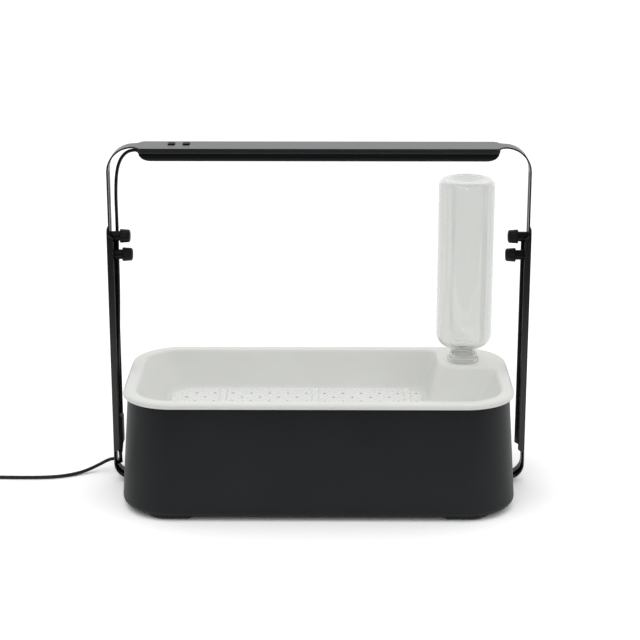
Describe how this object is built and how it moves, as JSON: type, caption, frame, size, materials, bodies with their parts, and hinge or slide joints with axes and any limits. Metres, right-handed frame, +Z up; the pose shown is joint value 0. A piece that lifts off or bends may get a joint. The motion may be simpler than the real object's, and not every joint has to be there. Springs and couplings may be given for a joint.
{
  "type": "countertop hydroponic garden",
  "caption": "Countertop hydroponic garden: dark tub with a pale basin, perforated grow plate, inverted water bottle and a height-adjustable lamp arch.",
  "frame": {"origin": "middle of the tub's footprint, on the worktop", "axes": "+X to the bottle's side, along the length; +Y to the back; +Z up"},
  "size_m": [0.7944, 0.2458, 0.4474],
  "materials": {
    "tub_plastic": "moulded, satin",
    "pad_rubber": "matte",
    "liner_plastic": "moulded, satin",
    "plate_plastic": "moulded, satin",
    "frame_steel": "satin powder coat",
    "arch_steel": "satin powder coat",
    "screw_steel": "zinc plated",
    "collar_steel": "black oxide",
    "lamp_body": "black anodised",
    "led_board": "white solder mask",
    "led_chip": "phosphor",
    "diffuser": "frosted",
    "circuit_board": "solder mask",
    "button_plastic": "satin",
    "relief_rubber": "matte",
    "cable_sheath": "satin",
    "bottle_clear": "clear",
    "cap_plastic": "satin",
    "seal_rubber": "matte",
    "controller_plastic": "satin",
    "adapter_plastic": "satin",
    "pin_metal": "nickel plated",
    "knob_plastic": "satin"
  },
  "bodies": {
    "root": {"tub_shell": "tub_plastic", "foot_pads": "pad_rubber", "liner_basin": "liner_plastic", "lower_frame": "frame_steel", "post_flanges": "frame_steel", "frame_screws": "screw_steel", "controller_base": "controller_plastic", "controller_cover": "controller_plastic", "controller_board": "circuit_board", "relief_upper": "relief_rubber", "relief_lower": "relief_rubber", "lamp_cable": "cable_sheath", "supply_cord": "cable_sheath", "cord_coil": "cable_sheath", "adapter_relief": "relief_rubber", "adapter_body": "adapter_plastic", "adapter_pins": "pin_metal"},
    "arch": {"arch_frame": "arch_steel", "lamp_housing": "lamp_body", "led_board": "led_board", "led_chips": "led_chip", "lamp_diffuser": "diffuser", "switch_board": "circuit_board", "lamp_gland": "relief_rubber"},
    "button_power_body": {"button_power": "button_plastic"},
    "button_timer_body": {"button_timer": "button_plastic"},
    "bottle_body": {"bottle": "bottle_clear", "valve_cap": "cap_plastic", "cap_seal": "seal_rubber"},
    "grow_plate_body": {"grow_plate": "plate_plastic"},
    "knob_upper_left_body": {"knob_upper_left": "knob_plastic", "knob_collar_upper_left": "collar_steel", "knob_screw_upper_left": "screw_steel"},
    "knob_lower_left_body": {"knob_lower_left": "knob_plastic", "knob_collar_lower_left": "collar_steel", "knob_screw_lower_left": "screw_steel"},
    "knob_upper_right_body": {"knob_upper_right": "knob_plastic", "knob_collar_upper_right": "collar_steel", "knob_screw_upper_right": "screw_steel"},
    "knob_lower_right_body": {"knob_lower_right": "knob_plastic", "knob_collar_lower_right": "collar_steel", "knob_screw_lower_right": "screw_steel"}
  },
  "joints": [
    {"name": "arch_height", "type": "slide", "parent": "root", "child": "arch", "axis": [0, 0, 1], "range_m": [-0.008, 0.05], "deforming": ["lamp_cable"]},
    {"name": "power_press", "type": "slide", "parent": "arch", "child": "button_power_body", "axis": [0, 0, -1], "range_m": [0, 0.001], "stiffness_N_per_m": 400, "springref_m": -0.001},
    {"name": "timer_press", "type": "slide", "parent": "arch", "child": "button_timer_body", "axis": [0, 0, -1], "range_m": [0, 0.001], "stiffness_N_per_m": 400, "springref_m": -0.001},
    {"name": "bottle_lift", "type": "slide", "parent": "root", "child": "bottle_body", "axis": [0, 0, 1], "range_m": [0, 0.021]},
    {"name": "plate_lift", "type": "slide", "parent": "root", "child": "grow_plate_body", "axis": [0, 0, 1], "range_m": [0, 0.12]},
    {"name": "knob_upper_left_turn", "type": "hinge", "parent": "root", "child": "knob_upper_left_body", "pos_m": [-0.2395, 0.024, 0.329], "axis": [-1, 0, 0], "continuous": true},
    {"name": "knob_lower_left_turn", "type": "hinge", "parent": "root", "child": "knob_lower_left_body", "pos_m": [-0.237, 0.024, 0.305], "axis": [-1, 0, 0], "continuous": true},
    {"name": "knob_upper_right_turn", "type": "hinge", "parent": "root", "child": "knob_upper_right_body", "pos_m": [0.2395, 0.024, 0.329], "axis": [1, 0, 0], "continuous": true},
    {"name": "knob_lower_right_turn", "type": "hinge", "parent": "root", "child": "knob_lower_right_body", "pos_m": [0.237, 0.024, 0.305], "axis": [1, 0, 0], "continuous": true}
  ]
}
